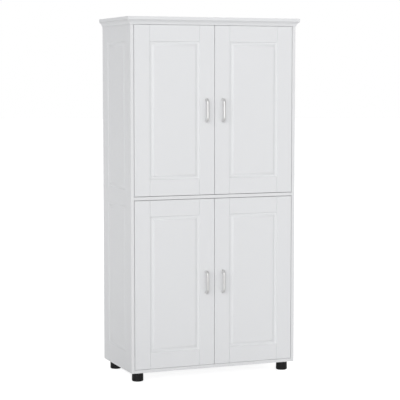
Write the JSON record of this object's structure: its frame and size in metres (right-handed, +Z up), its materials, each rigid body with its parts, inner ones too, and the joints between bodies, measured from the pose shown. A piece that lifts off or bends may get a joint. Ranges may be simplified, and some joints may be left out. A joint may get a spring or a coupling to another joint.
{
  "type": "pantry cabinet",
  "caption": "Tall free-standing white pantry cabinet: inset raised-panel doors in two tiers on concealed hinges, shelves inside, cove crown, slim bar handles and round black feet.",
  "frame": {"origin": "on the floor, under the middle of the whole object's bounding box, handles included", "axes": "+Z up, -Y out of the front, +X to the right of someone facing the doors"},
  "size_m": [0.832, 0.42, 1.6305],
  "materials": {
    "white_paint": "satin white paint on fibreboard",
    "white_melamine": "white melamine on particle board",
    "white_hardboard": "white printed hardboard",
    "satin_nickel": "satin nickel plate",
    "hinge_steel": "nickel-plated pressed steel",
    "black_plastic": "moulded black plastic"
  },
  "bodies": {
    "cabinet": {"back_panel_lower": "white_hardboard", "back_panel_upper": "white_hardboard", "bottom_panel": "white_paint", "cove_front": "white_paint", "cove_left": "white_paint", "cove_right": "white_paint", "foot_front_left": "black_plastic", "foot_front_right": "black_plastic", "foot_rear_left": "black_plastic", "foot_rear_right": "black_plastic", "hinge_arm_lower_left_bottom": "hinge_steel", "hinge_arm_lower_left_top": "hinge_steel", "hinge_arm_lower_right_bottom": "hinge_steel", "hinge_arm_lower_right_top": "hinge_steel", "hinge_arm_upper_left_bottom": "hinge_steel", "hinge_arm_upper_left_top": "hinge_steel", "hinge_arm_upper_right_bottom": "hinge_steel", "hinge_arm_upper_right_top": "hinge_steel", "middle_shelf": "white_paint", "shelf_lower": "white_melamine", "shelf_pin_lower_left_front": "hinge_steel", "shelf_pin_lower_left_rear": "hinge_steel", "shelf_pin_lower_right_front": "hinge_steel", "shelf_pin_lower_right_rear": "hinge_steel", "shelf_pin_upper_left_front": "hinge_steel", "shelf_pin_upper_left_rear": "hinge_steel", "shelf_pin_upper_right_front": "hinge_steel", "shelf_pin_upper_right_rear": "hinge_steel", "shelf_upper": "white_melamine", "side_panel_left": "white_paint", "side_panel_right": "white_paint", "top_board": "white_paint", "top_rail": "white_paint"},
    "door_lower_left": {"door_lower_left": "white_paint", "handle_lower_left": "satin_nickel", "hinge_cup_lower_left_bottom": "hinge_steel", "hinge_cup_lower_left_top": "hinge_steel"},
    "links_lower_left": {"hinge_link_lower_left_bottom": "hinge_steel", "hinge_link_lower_left_top": "hinge_steel"},
    "door_lower_right": {"door_lower_right": "white_paint", "handle_lower_right": "satin_nickel", "hinge_cup_lower_right_bottom": "hinge_steel", "hinge_cup_lower_right_top": "hinge_steel"},
    "links_lower_right": {"hinge_link_lower_right_bottom": "hinge_steel", "hinge_link_lower_right_top": "hinge_steel"},
    "door_upper_left": {"door_upper_left": "white_paint", "handle_upper_left": "satin_nickel", "hinge_cup_upper_left_bottom": "hinge_steel", "hinge_cup_upper_left_top": "hinge_steel"},
    "links_upper_left": {"hinge_link_upper_left_bottom": "hinge_steel", "hinge_link_upper_left_top": "hinge_steel"},
    "door_upper_right": {"door_upper_right": "white_paint", "handle_upper_right": "satin_nickel", "hinge_cup_upper_right_bottom": "hinge_steel", "hinge_cup_upper_right_top": "hinge_steel"},
    "links_upper_right": {"hinge_link_upper_right_bottom": "hinge_steel", "hinge_link_upper_right_top": "hinge_steel"}
  },
  "joints": [
    {"name": "door_lower_left_hinge", "type": "hinge", "parent": "cabinet", "child": "door_lower_left", "pos_m": [-0.373, -0.1795, 0.4375], "axis": [0, 0, -1], "range_deg": [0, 100]},
    {"name": "links_lower_left_pivot", "type": "hinge", "parent": "cabinet", "child": "links_lower_left", "pos_m": [-0.3592, -0.1679, 0.4375], "axis": [0, 0, 1], "range_deg": [0, 26]},
    {"name": "door_lower_right_hinge", "type": "hinge", "parent": "cabinet", "child": "door_lower_right", "pos_m": [0.373, -0.1795, 0.4375], "axis": [0, 0, 1], "range_deg": [0, 100]},
    {"name": "links_lower_right_pivot", "type": "hinge", "parent": "cabinet", "child": "links_lower_right", "pos_m": [0.3592, -0.1679, 0.4375], "axis": [0, 0, -1], "range_deg": [0, 26]},
    {"name": "door_upper_left_hinge", "type": "hinge", "parent": "cabinet", "child": "door_upper_left", "pos_m": [-0.373, -0.1795, 1.2155], "axis": [0, 0, -1], "range_deg": [0, 100]},
    {"name": "links_upper_left_pivot", "type": "hinge", "parent": "cabinet", "child": "links_upper_left", "pos_m": [-0.3592, -0.1679, 1.2155], "axis": [0, 0, 1], "range_deg": [0, 26]},
    {"name": "door_upper_right_hinge", "type": "hinge", "parent": "cabinet", "child": "door_upper_right", "pos_m": [0.373, -0.1795, 1.2155], "axis": [0, 0, 1], "range_deg": [0, 100]},
    {"name": "links_upper_right_pivot", "type": "hinge", "parent": "cabinet", "child": "links_upper_right", "pos_m": [0.3592, -0.1679, 1.2155], "axis": [0, 0, -1], "range_deg": [0, 26]}
  ],
  "couplings": [
    {"joint": "links_lower_left_pivot", "follows": "door_lower_left_hinge", "ratio": 0.257},
    {"joint": "links_lower_right_pivot", "follows": "door_lower_right_hinge", "ratio": 0.257},
    {"joint": "links_upper_left_pivot", "follows": "door_upper_left_hinge", "ratio": 0.257},
    {"joint": "links_upper_right_pivot", "follows": "door_upper_right_hinge", "ratio": 0.257}
  ]
}
